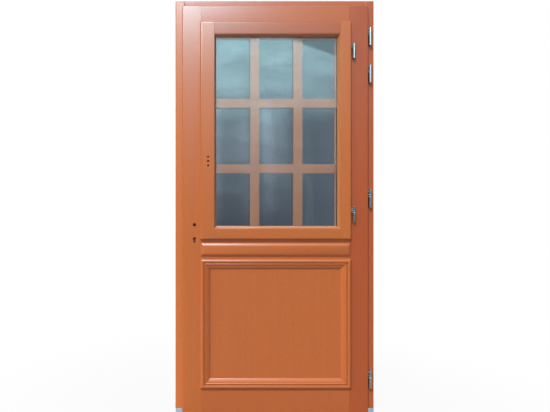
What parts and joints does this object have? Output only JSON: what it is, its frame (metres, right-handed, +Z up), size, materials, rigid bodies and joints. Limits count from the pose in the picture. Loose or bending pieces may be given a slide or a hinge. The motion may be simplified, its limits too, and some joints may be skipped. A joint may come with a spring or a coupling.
{
  "type": "panelled front door",
  "caption": "Front door in its timber frame: rebated leaf with a glazed opening sash above, a framed raised panel below, threshold, hinges and mortise lock.",
  "frame": {"origin": "on the underside of the threshold, in the middle of the width and of the timber frame's depth", "axes": "+Z up the door, +X from the lock side to the hinge side as seen from the room, +Y out of the room to the weather side"},
  "size_m": [1, 0.124, 2.08],
  "materials": {
    "timber": "satin translucent stain on reddish hardwood",
    "threshold_aluminium": "mill finish",
    "thermal_break": "matt",
    "seal_rubber": "matt brown",
    "hinge_plated": "bright plated",
    "hinge_pins": "ground, with pale washers",
    "plated_steel": "zinc plated",
    "screw_steel": "zinc plated",
    "hub_sleeve": "red",
    "clear_glass": "clear float",
    "spacer_metal": "satin",
    "glazing_bar": "stoved brown, wood tone"
  },
  "bodies": {
    "frame": {"frame_jamb_lock": "timber", "frame_jamb_hinge": "timber", "frame_head": "timber", "threshold_inner": "threshold_aluminium", "threshold_break": "thermal_break", "threshold_outer": "threshold_aluminium", "frame_seal": "seal_rubber", "strike_plate": "plated_steel", "strike_screws": "screw_steel", "frame_knuckle_top": "hinge_plated", "frame_knuckle_second": "hinge_plated", "frame_knuckle_middle": "hinge_plated", "frame_knuckle_foot": "hinge_plated", "leaf_hinge_pins": "hinge_pins"},
    "leaf": {"leaf_bottom_rail": "timber", "leaf_knuckle_foot": "hinge_plated", "leaf_knuckle_middle": "hinge_plated", "leaf_knuckle_second": "hinge_plated", "leaf_knuckle_top": "hinge_plated", "leaf_mid_rail": "timber", "leaf_stile_hinge": "timber", "leaf_stile_lock": "timber", "leaf_top_rail": "timber", "lock_case": "plated_steel", "lock_cover": "plated_steel", "lock_faceplate": "plated_steel", "lock_screws": "screw_steel", "lower_panel": "timber", "panel_moulding_bottom": "timber", "panel_moulding_hinge": "timber", "panel_moulding_lock": "timber", "panel_moulding_top": "timber", "raised_bar": "timber", "sash_hinge_lower_foot": "hinge_plated", "sash_hinge_lower_top": "hinge_plated", "sash_hinge_pins": "hinge_pins", "sash_keeps": "plated_steel", "sash_seal": "seal_rubber", "weatherboard": "timber"},
    "sash": {"sash_stile_handle": "timber", "sash_stile_hinge": "timber", "sash_top_rail": "timber", "sash_bottom_rail": "timber", "glazing_bead_lock": "timber", "glazing_bead_top": "timber", "glazing_bead_hinge": "timber", "glazing_bead_bottom": "timber", "inner_pane": "clear_glass", "outer_pane": "clear_glass", "unit_spacer": "spacer_metal", "glazing_bars": "glazing_bar", "sash_hinge_upper_top": "hinge_plated", "sash_hinge_upper_foot": "hinge_plated", "sash_gearbox": "plated_steel", "sash_faceplate": "plated_steel"},
    "latch": {"latch_bolt": "plated_steel"},
    "bolt": {"deadbolt": "plated_steel"},
    "follower": {"lock_follower": "plated_steel"},
    "hub": {"sash_hub": "hub_sleeve"},
    "rod": {"drive_rod": "plated_steel"}
  },
  "joints": [
    {"name": "leaf_swing", "type": "hinge", "parent": "frame", "child": "leaf", "pos_m": [0.478, -0.0395, 1.04], "axis": [0, 0, 1], "range_deg": [0, 110]},
    {"name": "sash_swing", "type": "hinge", "parent": "leaf", "child": "sash", "pos_m": [0.391, -0.0545, 1.42], "axis": [0, 0, 1], "range_deg": [0, 100]},
    {"name": "follower_turn", "type": "hinge", "parent": "leaf", "child": "follower", "pos_m": [-0.406, -0.0095, 0.95], "axis": [0, 1, 0], "range_deg": [0, 40]},
    {"name": "latch_slide", "type": "slide", "parent": "leaf", "child": "latch", "axis": [1, 0, 0], "range_m": [0, 0.0115], "stiffness_N_per_m": 400, "springref_m": -0.012},
    {"name": "bolt_slide", "type": "slide", "parent": "leaf", "child": "bolt", "axis": [-1, 0, 0], "range_m": [0, 0.02]},
    {"name": "hub_turn", "type": "hinge", "parent": "sash", "child": "hub", "pos_m": [-0.339, -0.0264, 1.269], "axis": [0, -1, 0], "range_deg": [0, 90]},
    {"name": "rod_slide", "type": "slide", "parent": "sash", "child": "rod", "axis": [0, 0, -1], "range_m": [0, 0.018]}
  ],
  "couplings": [
    {"joint": "follower_turn", "follows": "latch_slide", "rad_per_m": 60.707},
    {"joint": "hub_turn", "follows": "rod_slide", "rad_per_m": 87.26}
  ]
}
